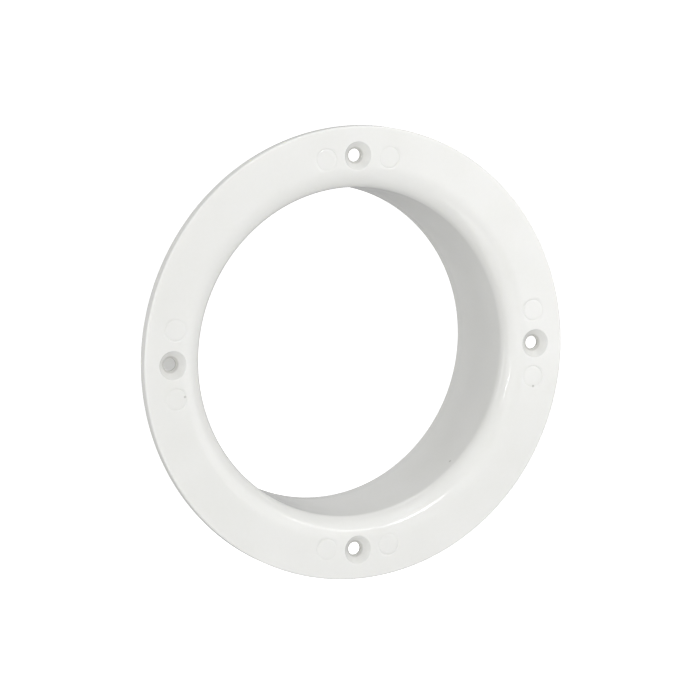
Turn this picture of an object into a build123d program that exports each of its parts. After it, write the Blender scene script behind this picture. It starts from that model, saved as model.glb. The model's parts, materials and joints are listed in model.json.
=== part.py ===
from build123d import *
from math import atan, degrees
import os

# A toilet flange for a four-inch waste pipe, moulded in one piece from white plastic.
# A flat round plate is screwed to the floor or wall, its mouth flares smoothly into a
# thin collar, and the collar reaches back into the pipe. All sizes are in millimetres.
#
# The plate stands upright. Its front face looks towards -Y, the collar runs towards +Y,
# +Z is up, and the origin is on the flange's axis in the plane of the plate's back face,
# which is the face that meets the floor or wall.

# Plate
PLATE_RADIUS = 67.0
PLATE_THICKNESS = 3.4
FRONT_EDGE_RADIUS = 0.5
BACK_EDGE_RADIUS = 0.25

# Mouth, bore and collar. The bore narrows slightly from the mouth to a short straight
# throat at the collar's end. Its line would meet the front face at MOUTH_RADIUS, but the
# flare takes that corner away: a curve close to a quarter ellipse, which starts
# FLARE_ON_FACE out along the face and ends FLARE_IN_BORE down the bore. FLARE_ROUNDNESS
# is the share of the way to the corner at which the curve's two control points lie.
MOUTH_RADIUS = 49.0
FLARE_ON_FACE = 7.0
FLARE_IN_BORE = 5.0
FLARE_ROUNDNESS = 0.5523
THROAT_RADIUS = 47.3
THROAT_LENGTH = 4.0
THROAT_BLEND_RADIUS = 20.0
COLLAR_RADIUS = 50.8
COLLAR_LENGTH = 27.5
COLLAR_ROOT_RADIUS = 1.5
COLLAR_OUTER_END_RADIUS = 0.6
COLLAR_INNER_END_RADIUS = 0.4

# Screw holes: a conical recess for the head, with a narrow seat at its bottom and its
# lip broken by a small 45 degree chamfer
SCREW_COUNT = 4
SCREW_CIRCLE_RADIUS = 58.25
SCREW_HOLE_RADIUS = 1.9
RECESS_RADIUS = 4.15
RECESS_FLOOR_RADIUS = 2.2
RECESS_DEPTH = 2.6
RECESS_TAPER = degrees(atan((RECESS_RADIUS - RECESS_FLOOR_RADIUS) / RECESS_DEPTH))
LIP_CHAMFER = 0.15
LIP_TAPER = 45

# Shallow round marks left by the mould's ejector pins, one on each side of every hole
MARK_RADIUS = 3.1
MARK_DEPTH = 0.12
MARK_ANGLE = 9.9

# The front face, drawn on as it is seen from the front: local X is X and local Y is Z
FRONT_FACE = Plane(origin=(0, -PLATE_THICKNESS, 0), x_dir=(1, 0, 0), z_dir=(0, -1, 0))


def make_flange_body():
    """The whole moulding: a turned section, then the screw holes and the pin marks."""
    # The section is drawn with X as the radius and Y along the axis. Each corner after
    # the flare is named with the radius that rounds it.
    mouth_corner = Vector(MOUTH_RADIUS, -PLATE_THICKNESS)
    throat_start = Vector(THROAT_RADIUS, COLLAR_LENGTH - THROAT_LENGTH)
    face_end = mouth_corner + Vector(FLARE_ON_FACE, 0)
    bore_end = mouth_corner + (throat_start - mouth_corner).normalized() * FLARE_IN_BORE
    corners = [
        ((PLATE_RADIUS, -PLATE_THICKNESS), FRONT_EDGE_RADIUS),
        ((PLATE_RADIUS, 0), BACK_EDGE_RADIUS),
        ((COLLAR_RADIUS, 0), COLLAR_ROOT_RADIUS),
        ((COLLAR_RADIUS, COLLAR_LENGTH), COLLAR_OUTER_END_RADIUS),
        ((THROAT_RADIUS, COLLAR_LENGTH), COLLAR_INNER_END_RADIUS),
        (throat_start, THROAT_BLEND_RADIUS),
    ]

    with BuildPart() as flange_body:
        with BuildSketch(Plane.XY) as section:
            with BuildLine():
                Bezier(
                    bore_end,
                    bore_end + (mouth_corner - bore_end) * FLARE_ROUNDNESS,
                    face_end + (mouth_corner - face_end) * FLARE_ROUNDNESS,
                    face_end,
                )
                Polyline([face_end] + [point for point, radius in corners] + [bore_end])
            make_face()
            for point, radius in corners:
                fillet(section.vertices().sort_by_distance(point)[0], radius=radius)
        revolve(axis=Axis.Y)

        # Each step of a screw hole: its radius at the front face, its depth and its taper
        steps = [
            (RECESS_RADIUS + LIP_CHAMFER, LIP_CHAMFER, LIP_TAPER),
            (RECESS_RADIUS, RECESS_DEPTH, RECESS_TAPER),
            (SCREW_HOLE_RADIUS, PLATE_THICKNESS, 0),
        ]
        for radius, depth, taper in steps:
            with BuildSketch(FRONT_FACE):
                with PolarLocations(SCREW_CIRCLE_RADIUS, SCREW_COUNT):
                    Circle(radius)
            extrude(amount=-depth, taper=taper, mode=Mode.SUBTRACT)

        with BuildSketch(FRONT_FACE):
            for side in (-1, 1):
                with PolarLocations(SCREW_CIRCLE_RADIUS, SCREW_COUNT, start_angle=side * MARK_ANGLE):
                    Circle(MARK_RADIUS)
        extrude(amount=-MARK_DEPTH, mode=Mode.SUBTRACT)
    return flange_body


os.makedirs("parts", exist_ok=True)

flange_body = make_flange_body()
flange_body.part.label = "flange_body"
export_step(flange_body.part, "parts/flange_body.step")
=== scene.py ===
import json
import math

import bpy
import numpy as np
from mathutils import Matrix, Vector


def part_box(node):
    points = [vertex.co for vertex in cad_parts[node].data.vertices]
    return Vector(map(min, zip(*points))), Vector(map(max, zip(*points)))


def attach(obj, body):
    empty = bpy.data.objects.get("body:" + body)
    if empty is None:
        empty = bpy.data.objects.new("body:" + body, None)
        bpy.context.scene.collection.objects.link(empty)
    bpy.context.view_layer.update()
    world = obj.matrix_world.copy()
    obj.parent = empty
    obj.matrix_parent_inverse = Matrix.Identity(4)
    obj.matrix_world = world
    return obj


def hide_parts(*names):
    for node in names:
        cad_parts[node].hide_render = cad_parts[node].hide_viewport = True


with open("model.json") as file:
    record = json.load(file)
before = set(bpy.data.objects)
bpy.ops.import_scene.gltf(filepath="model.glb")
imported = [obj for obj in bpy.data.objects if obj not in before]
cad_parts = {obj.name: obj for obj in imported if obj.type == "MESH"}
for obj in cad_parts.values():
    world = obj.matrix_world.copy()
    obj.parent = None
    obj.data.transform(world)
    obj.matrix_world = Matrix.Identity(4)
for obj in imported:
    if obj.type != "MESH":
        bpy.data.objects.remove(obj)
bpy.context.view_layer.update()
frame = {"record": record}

# ------------------------------------------------------------------ sizes, in metres
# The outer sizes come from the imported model, and the fits from its record.
MM = 0.001
LOW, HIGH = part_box("flange_body")
FITS = {mount["name"]: mount["dims"] for mount in frame["record"]["mounts"]}
PLATE_RADIUS = HIGH.x
FACE_Y = LOW.y
BACK_Y = 0.0
END_Y = HIGH.y
THROAT_RADIUS = FITS["waste_bore"]["r_mm"] * MM
COLLAR_RADIUS = FITS["collar_outside"]["r_mm"] * MM
SCREW_CIRCLE = FITS["screw_holes"]["pcd_mm"] * MM / 2
SCREW_COUNT = FITS["screw_holes"]["count"]
HOLE_RADIUS = FITS["screw_holes"]["hole_r_mm"] * MM

MOUTH_RADIUS = 49.0 * MM
FLARE_ON_FACE = 7.0 * MM
FLARE_IN_BORE = 5.0 * MM
FLARE_ROUNDNESS = 0.5523
THROAT_LENGTH = 4.0 * MM
THROAT_BLEND_RADIUS = 20.0 * MM
FRONT_EDGE_RADIUS = 0.5 * MM
BACK_EDGE_RADIUS = 0.25 * MM
ROOT_RADIUS = 1.5 * MM
OUTER_END_RADIUS = 0.6 * MM
INNER_END_RADIUS = 0.4 * MM

RECESS_RADIUS = 4.15 * MM
SEAT_RADIUS = 2.2 * MM
RECESS_DEPTH = 2.6 * MM
LIP_ROUND = 0.15 * MM
SMALL_ROUND = 0.1 * MM

PIN_RADIUS = 3.1 * MM
PIN_ANGLE = math.radians(9.9)
PIN_GROOVE_WIDTH = 0.28 * MM
PIN_GROOVE_DEPTH = 0.09 * MM
PIN_PAD_DEPTH = 0.03 * MM

# Each pin sat a little askew, so its mark is deeper on one side by this share. The low
# side starts at one angle and turns by a fixed step from each mark to the next.
PIN_TILT = 0.5
PIN_LOW_SIDE = 0.6
PIN_LOW_STEP = 2.4

# The grid: columns go round the axis, rows follow the section. Each screw hole and each
# pin mark sits in its own window of the grid, ten degrees wide.
COLUMNS = 720
WINDOW_COLUMNS = 20
WINDOW_ROWS = 14
WINDOW_LOW = 53.0 * MM
WINDOW_HIGH = 63.5 * MM

# Steps between a window's outline and a circle on the front and on the back, rings down a
# recess, and rows round the flare
FRONT_RINGS = 4
BACK_RINGS = 6
RECESS_RINGS = 6
FLARE_ROWS = 20


# ------------------------------------------------------------------ section
def line(start, end, steps):
    """Points from start up to but not including end, closer together near both ends:
    the share of the way at step k is half of one minus the cosine of k half turns over
    the number of steps."""
    share = (1 - np.cos(np.pi * np.arange(steps) / steps)) / 2
    return np.array(start) + np.outer(share, np.array(end) - np.array(start))


def arc(centre, radius, start, end, steps):
    """Points on a circle round centre, from the angle start up to but not including
    end, in degrees, evenly spaced. Angle 0 points away from the axis and 90 backwards."""
    angle = np.radians(start + (end - start) * np.arange(steps) / steps)
    return np.array(centre) + radius * np.column_stack([np.cos(angle), np.sin(angle)])


# The bore narrows in a straight line from the mouth's corner to the throat. The flare
# takes the corner away with a curve that leaves the face FLARE_ON_FACE out from it and
# joins the bore's line FLARE_IN_BORE down from it.
THROAT_Y = END_Y - THROAT_LENGTH
BORE_LEAN = math.atan2(MOUTH_RADIUS - THROAT_RADIUS, THROAT_Y - FACE_Y)
MOUTH_CORNER = np.array([MOUTH_RADIUS, FACE_Y])
FACE_END = MOUTH_CORNER + np.array([FLARE_ON_FACE, 0.0])
BORE_END = MOUTH_CORNER + FLARE_IN_BORE * np.array([-math.sin(BORE_LEAN), math.cos(BORE_LEAN)])


def flare_curve(share):
    """Points of the flare at shares of the way from the bore (0) to the face (1): the
    cubic curve whose two inner control points lie FLARE_ROUNDNESS of the way from its
    ends to the mouth's corner. With u the share and v one minus u, the weights of the
    four control points are vvv, 3vvu, 3vuu and uuu."""
    u = np.asarray(share)[:, None]
    v = 1 - u
    low = BORE_END + FLARE_ROUNDNESS * (MOUTH_CORNER - BORE_END)
    high = FACE_END + FLARE_ROUNDNESS * (MOUTH_CORNER - FACE_END)
    return v**3 * BORE_END + 3 * v**2 * u * low + 3 * v * u**2 * high + u**3 * FACE_END


FLARE_FINE = flare_curve(np.linspace(0, 1, 2001))


def front_y(radius):
    """Height of the front surface at a radius: along the flare, and level beyond it."""
    return np.interp(radius, FLARE_FINE[:, 0], FLARE_FINE[:, 1])


def flange_section():
    """The closed section as (radius, y) points: forwards up the bore, out round the
    flare, across the face, round the edge, back in across the rear face and rearwards
    along the collar. Straight stretches are joined by tangent arcs. Returns the points
    and the rows of the front and back windows, both in order of growing radius."""
    window_radius = np.linspace(WINDOW_LOW, WINDOW_HIGH, WINDOW_ROWS + 1)
    window_share = np.interp(WINDOW_LOW, FLARE_FINE[:, 0], np.linspace(0, 1, len(FLARE_FINE)))
    lean = math.degrees(BORE_LEAN)
    blend = (
        THROAT_RADIUS + THROAT_BLEND_RADIUS,
        THROAT_Y + THROAT_BLEND_RADIUS * math.tan(BORE_LEAN / 2),
    )
    front_edge = (PLATE_RADIUS - FRONT_EDGE_RADIUS, FACE_Y + FRONT_EDGE_RADIUS)
    back_edge = (PLATE_RADIUS - BACK_EDGE_RADIUS, BACK_Y - BACK_EDGE_RADIUS)
    root = (COLLAR_RADIUS + ROOT_RADIUS, BACK_Y + ROOT_RADIUS)
    outer_end = (COLLAR_RADIUS - OUTER_END_RADIUS, END_Y - OUTER_END_RADIUS)
    inner_end = (THROAT_RADIUS + INNER_END_RADIUS, END_Y - INNER_END_RADIUS)

    throat_bend = arc(blend, THROAT_BLEND_RADIUS, 180, 180 + lean, 4)
    bend_end = arc(blend, THROAT_BLEND_RADIUS, 180 + lean, 270, 1)[0]
    front_rows = np.column_stack([window_radius, front_y(window_radius)])
    back_rows = np.column_stack([window_radius[::-1], np.full(WINDOW_ROWS + 1, BACK_Y)])
    stretches = [
        line((THROAT_RADIUS, inner_end[1]), (THROAT_RADIUS, blend[1]), 3),
        throat_bend,
        line(bend_end, BORE_END, 7),
        flare_curve(window_share * np.arange(FLARE_ROWS) / FLARE_ROWS),
        front_rows[:-1],
        line((WINDOW_HIGH, FACE_Y), (front_edge[0], FACE_Y), 5),
        arc(front_edge, FRONT_EDGE_RADIUS, -90, 0, 6),
        line((PLATE_RADIUS, front_edge[1]), (PLATE_RADIUS, back_edge[1]), 6),
        arc(back_edge, BACK_EDGE_RADIUS, 0, 90, 4),
        line((back_edge[0], BACK_Y), (WINDOW_HIGH, BACK_Y), 5),
        back_rows[:-1],
        line((WINDOW_LOW, BACK_Y), (root[0], BACK_Y), 2),
        arc(root, ROOT_RADIUS, -90, -180, 8),
        line((COLLAR_RADIUS, root[1]), (COLLAR_RADIUS, outer_end[1]), 9),
        arc(outer_end, OUTER_END_RADIUS, 0, 90, 6),
        line((outer_end[0], END_Y), (inner_end[0], END_Y), 3),
        arc(inner_end, INNER_END_RADIUS, 90, 180, 5),
    ]
    starts = np.cumsum([0] + [len(points) for points in stretches])
    front_window = starts[4] + np.arange(WINDOW_ROWS + 1)
    back_window = (starts[10] + np.arange(WINDOW_ROWS + 1))[::-1]
    return np.concatenate(stretches), front_window, back_window


# ------------------------------------------------------------------ rings round a feature
def window_loop(rows, columns):
    """Grid points round a window, once: along the inner row, out along the last
    column, back along the outer row and in along the first column."""
    inner = rows[0] * COLUMNS + columns[:-1]
    last = rows[:-1] * COLUMNS + columns[-1]
    outer = rows[-1] * COLUMNS + columns[:0:-1]
    first = rows[:0:-1] * COLUMNS + columns[0]
    return np.concatenate([inner, last, outer, first])


def band(outer, inner):
    """Quads between two rings of the same length, facing out of the front."""
    return np.column_stack([np.roll(outer, -1), outer, inner, np.roll(inner, -1)])


def between(edge, circle, steps):
    """Plan rings from a window's outline in to a circle, evenly spaced, without either
    end: each point goes straight from the outline to the circle."""
    shares = np.arange(1, steps) / steps
    return [edge + share * (circle - edge) for share in shares]


def rays(outline, centre):
    """Unit vectors in plan from a centre towards the points of an outline."""
    away = outline - centre
    return away / np.linalg.norm(away, axis=1)[:, None]


def screw_hole_profile():
    """The wall of a screw hole as (radius, depth below the face): down the recess from
    its lip, across the seat and through the hole to the rear face, with small rounds."""
    slope = (RECESS_RADIUS - SEAT_RADIUS) / RECESS_DEPTH
    thickness = BACK_Y - FACE_Y
    wall_depths = RECESS_DEPTH * np.linspace(0.25, 0.95, RECESS_RINGS)
    wall = [(RECESS_RADIUS - slope * depth, depth) for depth in wall_depths]
    # Midway round a quarter circle the surface is this far from both straight sides
    inset = SMALL_ROUND * 0.3
    return wall + [
        (SEAT_RADIUS, RECESS_DEPTH - inset),
        (SEAT_RADIUS - SMALL_ROUND, RECESS_DEPTH),
        (HOLE_RADIUS + SMALL_ROUND, RECESS_DEPTH),
        (HOLE_RADIUS + inset, RECESS_DEPTH + inset),
        (HOLE_RADIUS, RECESS_DEPTH + SMALL_ROUND),
        (HOLE_RADIUS, thickness - SMALL_ROUND),
        (HOLE_RADIUS + inset, thickness - inset),
        (HOLE_RADIUS + SMALL_ROUND, thickness),
    ]


def pin_mark_profile():
    """A pin mark as (radius, depth below the face), from its rim inwards: a narrow round
    groove, and inside it a pad that is almost level with the face."""
    groove = PIN_GROOVE_WIDTH / 2
    return [
        (PIN_RADIUS + groove, 0.0),
        (PIN_RADIUS + groove * 0.4, PIN_GROOVE_DEPTH * 0.8),
        (PIN_RADIUS, PIN_GROOVE_DEPTH),
        (PIN_RADIUS - groove * 0.4, PIN_GROOVE_DEPTH * 0.8),
        (PIN_RADIUS - groove, PIN_PAD_DEPTH),
        (PIN_RADIUS * 0.75, PIN_PAD_DEPTH),
        (PIN_RADIUS * 0.5, PIN_PAD_DEPTH),
        (PIN_RADIUS * 0.2, PIN_PAD_DEPTH),
    ]


def moulding_mesh():
    """The whole moulding. The section is carried once round the axis: at the angle a,
    x is the radius times cos a and z the radius times sin a. Where a screw hole or a
    pin mark stands, the grid's window is filled with rings that turn from the window's
    outline into circles, and the rings go on down the recess and through the plate, or
    down to the middle of the mark."""
    section, front_window, back_window = flange_section()
    angle = 2 * np.pi * np.arange(COLUMNS) / COLUMNS
    points = [
        np.column_stack([
            np.outer(section[:, 0], np.cos(angle)).ravel(),
            np.repeat(section[:, 1], COLUMNS),
            np.outer(section[:, 0], np.sin(angle)).ravel(),
        ])
    ]
    plan = points[0][:, [0, 2]]

    rows = np.arange(len(section))
    row, column = np.meshgrid(rows, np.arange(COLUMNS), indexing="ij")
    next_row = (row + 1) % len(section)
    next_column = (column + 1) % COLUMNS
    quads = np.stack([
        row * COLUMNS + column,
        next_row * COLUMNS + column,
        next_row * COLUMNS + next_column,
        row * COLUMNS + next_column,
    ], axis=-1)
    keep = np.ones(row.shape, bool)
    faces = []
    fans = []
    made = len(points[0])

    def add_ring(xz, y):
        """Stores one ring and returns its point numbers."""
        nonlocal made
        points.append(np.column_stack([xz[:, 0], np.broadcast_to(y, len(xz)), xz[:, 1]]))
        made += len(xz)
        return np.arange(made - len(xz), made)

    def on_front(xz, depth=0.0):
        """Heights of plan points a depth below the front surface."""
        return front_y(np.hypot(xz[:, 0], xz[:, 1])) + depth

    # The recess's lip is a quarter circle
    turn = np.radians([0, 30, 60, 90])
    lip_radius = RECESS_RADIUS + LIP_ROUND * (1 - np.sin(turn))
    lip_depth = LIP_ROUND * (1 - np.cos(turn))

    lowest = PIN_LOW_SIDE
    quarter = COLUMNS // SCREW_COUNT
    half = WINDOW_COLUMNS // 2
    for screw in range(SCREW_COUNT):
        middle = screw * quarter
        screw_angle = 2 * np.pi * screw / SCREW_COUNT

        # The screw hole, from the front window to the back one
        columns = (middle + np.arange(-half, half + 1)) % COLUMNS
        front = window_loop(front_window, columns)
        back = window_loop(back_window, columns)
        keep[np.ix_(front_window[:-1], columns[:-1])] = False
        keep[np.ix_(back_window[1:], columns[:-1])] = False
        centre = SCREW_CIRCLE * np.array([math.cos(screw_angle), math.sin(screw_angle)])
        towards = rays(plan[front], centre)
        lip = centre + (RECESS_RADIUS + LIP_ROUND) * towards
        rings = [front]
        for xz in between(plan[front], lip, FRONT_RINGS):
            rings.append(add_ring(xz, on_front(xz)))
        for radius, depth in zip(lip_radius, lip_depth):
            xz = centre + radius * towards
            rings.append(add_ring(xz, on_front(xz, depth)))
        for radius, depth in screw_hole_profile():
            rings.append(add_ring(centre + radius * towards, FACE_Y + depth))
        rim = centre + (HOLE_RADIUS + SMALL_ROUND) * towards
        for xz in between(rim, plan[back], BACK_RINGS):
            rings.append(add_ring(xz, BACK_Y))
        rings.append(back)
        faces += [band(a, b) for a, b in zip(rings[:-1], rings[1:])]

        # The pin marks, one on each side
        for side in (-1, 1):
            columns = (middle + side * WINDOW_COLUMNS + np.arange(-half, half + 1)) % COLUMNS
            front = window_loop(front_window, columns)
            keep[np.ix_(front_window[:-1], columns[:-1])] = False
            mark_angle = screw_angle + side * PIN_ANGLE
            centre = SCREW_CIRCLE * np.array([math.cos(mark_angle), math.sin(mark_angle)])
            towards = rays(plan[front], centre)
            rim = centre + (PIN_RADIUS + PIN_GROOVE_WIDTH / 2) * towards
            rings = [front]
            for xz in between(plan[front], rim, FRONT_RINGS):
                rings.append(add_ring(xz, on_front(xz)))
            pressed = 1 + PIN_TILT * np.cos(np.arctan2(towards[:, 1], towards[:, 0]) - lowest)
            lowest += PIN_LOW_STEP
            for radius, depth in pin_mark_profile():
                xz = centre + radius * towards
                rings.append(add_ring(xz, on_front(xz, depth * pressed)))
            faces += [band(a, b) for a, b in zip(rings[:-1], rings[1:])]
            pole = add_ring(centre[None, :], on_front(centre[None, :], PIN_PAD_DEPTH))
            last = rings[-1]
            fans.append(
                np.column_stack([np.roll(last, -1), last, np.broadcast_to(pole, len(last))])
            )

    faces.append(quads[keep])
    return np.concatenate(points), np.concatenate(faces), np.concatenate(fans)


def make_piece(name, points, quads, triangles):
    """A smooth mesh object from points, quads and triangles, without unused points."""
    used = np.unique(np.concatenate([quads.ravel(), triangles.ravel()]))
    number = np.zeros(len(points), int)
    number[used] = np.arange(len(used))
    corners = np.concatenate([number[quads].ravel(), number[triangles].ravel()])
    sizes = np.concatenate([np.full(len(quads), 4), np.full(len(triangles), 3)])
    mesh = bpy.data.meshes.new(name)
    mesh.vertices.add(len(used))
    mesh.vertices.foreach_set("co", points[used].astype(np.float32).ravel())
    mesh.loops.add(len(corners))
    mesh.loops.foreach_set("vertex_index", corners.astype(np.int32))
    mesh.polygons.add(len(sizes))
    mesh.polygons.foreach_set("loop_start", (np.cumsum(sizes) - sizes).astype(np.int32))
    mesh.polygons.foreach_set("use_smooth", np.ones(len(sizes), bool))
    mesh.update(calc_edges=True)
    mesh.validate()
    piece = bpy.data.objects.new(name, mesh)
    bpy.context.scene.collection.objects.link(piece)
    return piece


# ------------------------------------------------------------------ camera, light, painted shade and dirt
# Angles are in degrees and distances in metres; the lens is in millimetres.
CAMERA_AZIMUTH = -24.35
CAMERA_ELEVATION = 7.8
CAMERA_DISTANCE = 1.115
CAMERA_LENS = 196.0
AIM = Vector((-0.0026, FACE_Y, 0.0014))
LIGHT_DISTANCE = 1.6
CLOSE_LIGHT = 0.55
FLOOR_DROP = 0.35
FLOOR_RADIUS = 3.0
FLOOR_RISE = 2.5
FLOOR_COLUMNS = 96
FLOOR_INNER = 0.5
FLOOR_LEVEL_ROWS = 7
FLOOR_RISE_ROWS = 13

# How strongly the painted shade darkens the seats of the recesses and the specks of dirt cover
# the plastic, and where the specks lie
SEAT_PAINTED_SHADE = 0.45
SPECK = 0.5
SPECKS = [
    (0.0576, FACE_Y, -0.0129),
    (-0.0546, FACE_Y, -0.0093),
    (0.0335, 0.0038, -0.0351),
]


# ------------------------------------------------------------------ plastic
def add_node(tree, kind, **settings):
    """A new node with its settings and inputs filled in. A name that begins with in_ is
    an input, by its number or name, and takes a value or another node's output. Any
    other name is a setting."""
    node = tree.nodes.new(kind)
    for name, value in settings.items():
        if not name.startswith("in_"):
            setattr(node, name, value)
            continue
        key = name[3:]
        socket = node.inputs[int(key)] if key.isdigit() else node.inputs[key.replace("_", " ")]
        if isinstance(value, bpy.types.NodeSocket):
            tree.links.new(value, socket)
        else:
            socket.default_value = value
    return node


def maths(tree, operation, first, second):
    """The result of one operation, such as ADD or MULTIPLY, on two values."""
    return add_node(
        tree, "ShaderNodeMath", operation=operation, in_0=first, in_1=second
    ).outputs[0]


def noise(tree, place, scale, detail):
    """Soft noise from 0 to 1 whose patches are about one over scale metres wide."""
    return add_node(
        tree, "ShaderNodeTexNoise", in_Vector=place, in_Scale=scale, in_Detail=detail
    ).outputs["Fac"]


def spread(tree, value, low, high, to_low, to_high):
    """Carries a value from the range low..high onto to_low..to_high, held at its ends."""
    return add_node(
        tree, "ShaderNodeMapRange", in_Value=value, in_1=low, in_2=high, in_3=to_low, in_4=to_high
    ).outputs[0]


def near(tree, place, point, inside, outside):
    """1 within the distance inside of a point, fading to 0 at the distance outside."""
    distance = add_node(
        tree, "ShaderNodeVectorMath", operation="DISTANCE", in_0=place, in_1=point
    ).outputs["Value"]
    return spread(tree, distance, inside, outside, 1.0, 0.0)


def white_plastic():
    """Glossy white moulded plastic: faint flow patches in colour and gloss, a slow
    unevenness left by shrinkage, a very fine grain, dulled outer edge, a few specks of
    dirt, and painted shade darkening the seats round the screw holes."""
    material = bpy.data.materials.new("white_plastic")
    material.use_nodes = True
    tree = material.node_tree
    shader = tree.nodes["Principled BSDF"]
    place = add_node(tree, "ShaderNodeTexCoord").outputs["Object"]

    # Colour: flow patches a centimetre or two wide and finer mottling
    flow = noise(tree, place, 55.0, 2.0)
    mottle = noise(tree, place, 900.0, 4.0)
    patches = maths(
        tree, "ADD", maths(tree, "MULTIPLY", flow, 0.7), maths(tree, "MULTIPLY", mottle, 0.3)
    )
    tone = add_node(
        tree, "ShaderNodeMix", data_type="RGBA", in_0=spread(tree, patches, 0.3, 0.7, 0.0, 1.0)
    )
    tone.inputs[6].default_value = (0.782, 0.783, 0.760, 1.0)
    tone.inputs[7].default_value = (0.812, 0.812, 0.796, 1.0)

    # Painted shade that darkens each seat and fades out just past it, and specks of dirt on the
    # face and in the bore
    marks = []
    for screw in range(SCREW_COUNT):
        angle = 2 * math.pi * screw / SCREW_COUNT
        seat = (
            SCREW_CIRCLE * math.cos(angle), FACE_Y + RECESS_DEPTH, SCREW_CIRCLE * math.sin(angle)
        )
        # Painted shade: a dark ring on the seat, where shade falls in the recess
        ring = near(tree, place, seat, 2.15 * MM, 2.75 * MM)
        marks.append(maths(tree, "MULTIPLY", ring, SEAT_PAINTED_SHADE))
    for speck in SPECKS:
        spot = near(tree, place, speck, 0.15 * MM, 0.5 * MM)
        marks.append(maths(tree, "MULTIPLY", spot, SPECK))
    shade_and_dirt = marks[0]
    for mark in marks[1:]:
        shade_and_dirt = maths(tree, "MAXIMUM", shade_and_dirt, mark)
    # One dark colour serves both the painted shade on the seats and the specks of dirt
    colour = add_node(tree, "ShaderNodeMix", data_type="RGBA", in_0=shade_and_dirt)
    tree.links.new(tone.outputs[2], colour.inputs[6])
    colour.inputs[7].default_value = (0.20, 0.19, 0.16, 1.0)
    tree.links.new(colour.outputs[2], shader.inputs["Base Color"])

    # Gloss: a little patchy, duller at the handled outer edge
    apart = add_node(tree, "ShaderNodeSeparateXYZ", in_0=place).outputs
    x_squared = maths(tree, "MULTIPLY", apart[0], apart[0])
    z_squared = maths(tree, "MULTIPLY", apart[2], apart[2])
    across = maths(tree, "SQRT", maths(tree, "ADD", x_squared, z_squared), 0.0)
    rubbed = spread(tree, across, PLATE_RADIUS - 1.0 * MM, PLATE_RADIUS, 0.0, 0.10)
    gloss = spread(tree, noise(tree, place, 260.0, 4.0), 0.3, 0.7, 0.08, 0.13)
    tree.links.new(maths(tree, "ADD", gloss, rubbed), shader.inputs["Roughness"])
    shader.inputs["IOR"].default_value = 1.49
    shader.inputs["Subsurface Weight"].default_value = 0.6
    shader.inputs["Subsurface Radius"].default_value = (1.0, 1.0, 0.95)
    shader.inputs["Subsurface Scale"].default_value = 1.5 * MM

    # Relief: slow waviness and fine grain, in metres
    slow = maths(tree, "MULTIPLY", noise(tree, place, 70.0, 1.0), 0.10 * MM)
    fine = maths(tree, "MULTIPLY", noise(tree, place, 2400.0, 3.0), 0.003 * MM)
    relief = add_node(
        tree, "ShaderNodeBump", in_Strength=1.0, in_Distance=1.0,
        in_Height=maths(tree, "ADD", slow, fine)
    )
    tree.links.new(relief.outputs[0], shader.inputs["Normal"])
    return material


# ------------------------------------------------------------------ studio
def direction(azimuth, elevation):
    """Unit vector for a view or light angle: azimuth 0 is straight in front of the
    face, positive towards +X; elevation is up."""
    a, e = math.radians(azimuth), math.radians(elevation)
    return Vector((math.sin(a) * math.cos(e), -math.cos(a) * math.cos(e), math.sin(e)))


def make_camera():
    """A camera that looks at the middle of the plate's face, without roll."""
    back = direction(CAMERA_AZIMUTH, CAMERA_ELEVATION)
    data = bpy.data.cameras.new("camera")
    data.lens = CAMERA_LENS
    data.sensor_width = 36.0
    data.clip_end = 100.0
    camera = bpy.data.objects.new("camera", data)
    camera.location = AIM + back * CAMERA_DISTANCE
    camera.rotation_mode = "QUATERNION"
    camera.rotation_quaternion = (-back).to_track_quat("-Z", "Y")
    bpy.context.scene.collection.objects.link(camera)
    bpy.context.scene.camera = camera


def softbox(
    name, azimuth, elevation, width, height, brightness, distance=LIGHT_DISTANCE, mirrored=True
):
    """A flat light that faces the flange, with its sides in degrees as the flange sees
    them. A flat light's power for an even brightness is that brightness times its area
    times pi. A light that isn't mirrored gives no highlight on gloss."""
    away = direction(azimuth, elevation)
    data = bpy.data.lights.new(name, "AREA")
    data.shape = "RECTANGLE"
    data.size = 2 * distance * math.tan(math.radians(width) / 2)
    data.size_y = 2 * distance * math.tan(math.radians(height) / 2)
    data.energy = brightness * data.size * data.size_y * math.pi
    light = bpy.data.objects.new(name, data)
    light.location = away * distance
    light.rotation_mode = "QUATERNION"
    light.rotation_quaternion = away.to_track_quat("Z", "Y")
    light.visible_camera = False
    light.visible_glossy = mirrored
    bpy.context.scene.collection.objects.link(light)


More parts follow.
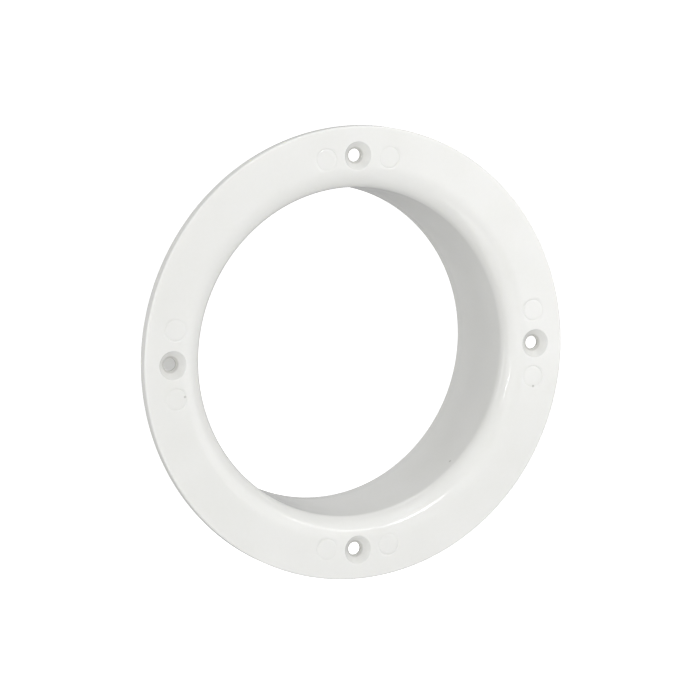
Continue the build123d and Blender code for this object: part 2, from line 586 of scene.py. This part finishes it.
def studio_floor():
    """A pale floor under the flange: a disc that turns up at its far rim, so that no
    horizon shows. The profile is level out to FLOOR_RADIUS and then a quarter circle,
    and is carried once round the vertical. It is seen by the camera alone, so it takes
    no part in the light on the flange."""
    turn = np.radians(np.linspace(0, 90, FLOOR_RISE_ROWS))
    level = np.linspace(FLOOR_INNER, FLOOR_RADIUS, FLOOR_LEVEL_ROWS, endpoint=False)
    reach = np.concatenate([level, FLOOR_RADIUS + FLOOR_RISE * np.sin(turn)])
    rise = np.concatenate([np.zeros(len(level)), FLOOR_RISE * (1 - np.cos(turn))])
    around = np.arange(FLOOR_COLUMNS)
    angle = 2 * np.pi * around / FLOOR_COLUMNS
    points = np.column_stack([
        np.outer(reach, np.cos(angle)).ravel(),
        np.outer(reach, np.sin(angle)).ravel(),
        np.repeat(rise - FLOOR_DROP, FLOOR_COLUMNS),
    ])
    points = np.vstack([points, [[0.0, 0.0, -FLOOR_DROP]]])
    row, column = np.meshgrid(np.arange(len(reach) - 1), around, indexing="ij")
    next_column = (column + 1) % FLOOR_COLUMNS
    quads = np.stack([
        row * FLOOR_COLUMNS + column,
        (row + 1) * FLOOR_COLUMNS + column,
        (row + 1) * FLOOR_COLUMNS + next_column,
        row * FLOOR_COLUMNS + next_column,
    ], axis=-1).reshape(-1, 4)
    centre = np.full(FLOOR_COLUMNS, len(points) - 1)
    middle = np.column_stack([around, np.roll(around, -1), centre])
    floor = make_piece("studio_floor", points, quads, middle)
    material = bpy.data.materials.new("lit_paper")
    material.use_nodes = True
    shader = material.node_tree.nodes["Principled BSDF"]
    shader.inputs["Base Color"].default_value = (0.9, 0.9, 0.9, 1.0)
    shader.inputs["Roughness"].default_value = 0.9
    shader.inputs["Emission Color"].default_value = (1.0, 1.0, 1.0, 1.0)
    shader.inputs["Emission Strength"].default_value = 0.8
    floor.data.materials.append(material)
    floor.visible_diffuse = False
    floor.visible_glossy = False
    floor.visible_shadow = False


def even_world(brightness):
    """The same soft white light from every side."""
    world = bpy.data.worlds.new("studio_air")
    world.use_nodes = True
    shader = world.node_tree.nodes["Background"]
    shader.inputs["Color"].default_value = (1.0, 1.0, 1.0, 1.0)
    shader.inputs["Strength"].default_value = brightness
    bpy.context.scene.world = world


moulding = make_piece("flange_moulding", *moulding_mesh())
moulding.data.materials.append(white_plastic())
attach(moulding, "root")
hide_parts("flange_body")

make_camera()
studio_floor()
even_world(0.39)

# The lights: azimuth, elevation, width and height in degrees, then brightness.
# Broad soft lights on both sides of the camera, the left one low and the right ones close
softbox("left_low", -30, -20, 58, 58, 1.05)
softbox("right_front", 30, 10, 58, 58, 0.40)
softbox("left_far", -60, 20, 58, 58, 0.30)
softbox("right_close", 45, 10, 39, 39, 0.93, CLOSE_LIGHT)
softbox("right_top_close", 30, 50, 39, 39, 0.90, CLOSE_LIGHT)
softbox("left_side", -90, 5, 20, 30, 2.6)
# Weaker lights behind, for the collar and the rear face
softbox("back_left_top", -150, 60, 39, 39, 0.8)
softbox("back_right_top", 150, 60, 39, 39, 0.8)
softbox("back_axis", 180, 0, 16, 16, 8.0, mirrored=False)
# Narrow lights that draw the highlights on the flare
softbox("strip_bright", 11, 25, 12, 5, 14.0)
softbox("strip_soft", 33, 27, 32, 4, 5.0)
softbox("strip_left", -36, 6, 3, 11, 12.0)
bpy.context.scene.view_settings.view_transform = "Standard"
